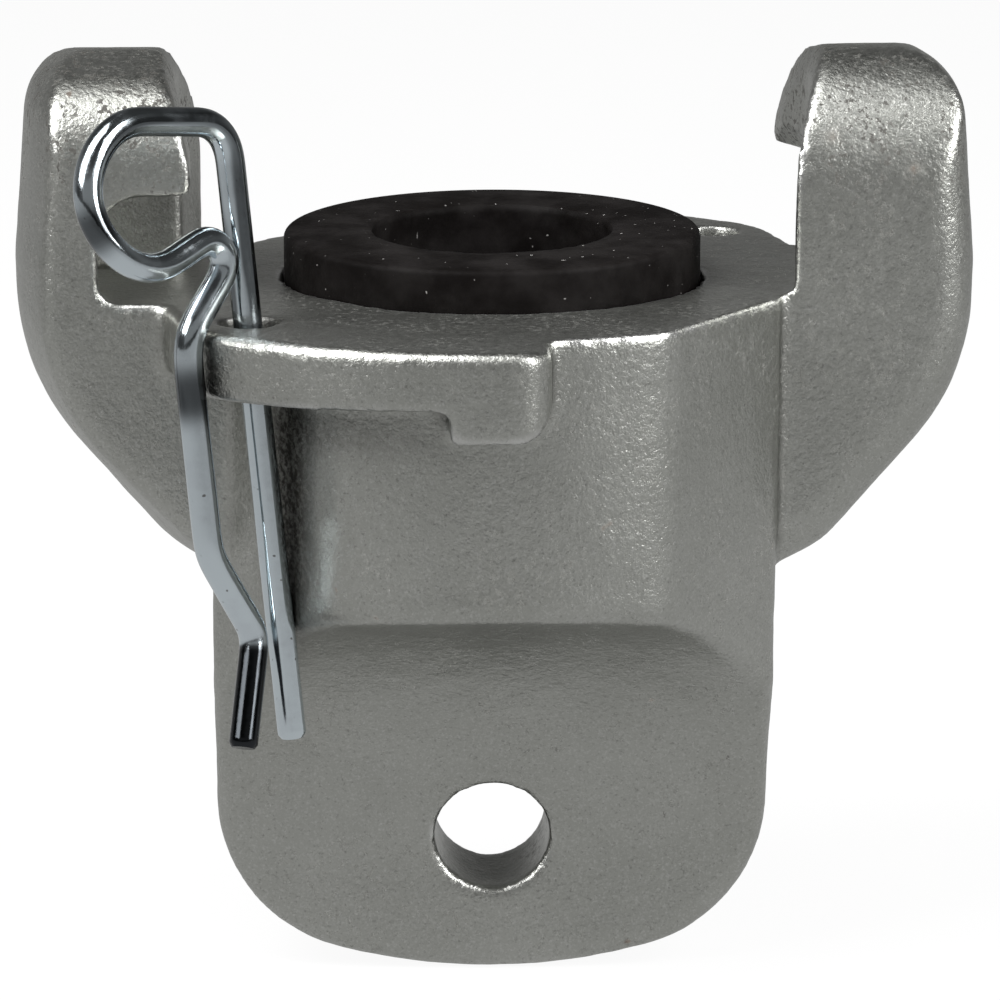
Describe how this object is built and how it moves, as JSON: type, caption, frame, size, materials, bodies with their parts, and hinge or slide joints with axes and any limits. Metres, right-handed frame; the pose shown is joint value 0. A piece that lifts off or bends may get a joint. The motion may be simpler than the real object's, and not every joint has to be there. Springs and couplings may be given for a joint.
{
  "type": "claw hose coupling",
  "caption": "Twist-lock claw coupling for an air hose with a blank end, two claws over stepped ledges, a rubber face washer, a wire safety clip and a flat tang with a tether hole.",
  "frame": {"origin": "centre of the coupling face, on the axis of the washer and the claws", "axes": "+Z along the coupling's axis towards the mating half; the claws stand at +X and -X; the tang hangs towards -Z in the XZ plane; the side with the clip faces -Y"},
  "size_m": [0.0676, 0.0584, 0.0669],
  "materials": {
    "casting": "zinc-plated, rough as cast",
    "washer": "matt black",
    "wire": "bright zinc-plated spring wire"
  },
  "bodies": {
    "coupling": {"coupling_body": "casting", "face_washer": "washer"},
    "clip": {"safety_clip": "wire"}
  },
  "joints": [
    {"name": "clip_pull", "type": "slide", "parent": "coupling", "child": "clip", "axis": [-0.0975, 0.0327, 0.9947], "range_m": [0, 0.03], "deforming": ["safety_clip"]}
  ]
}
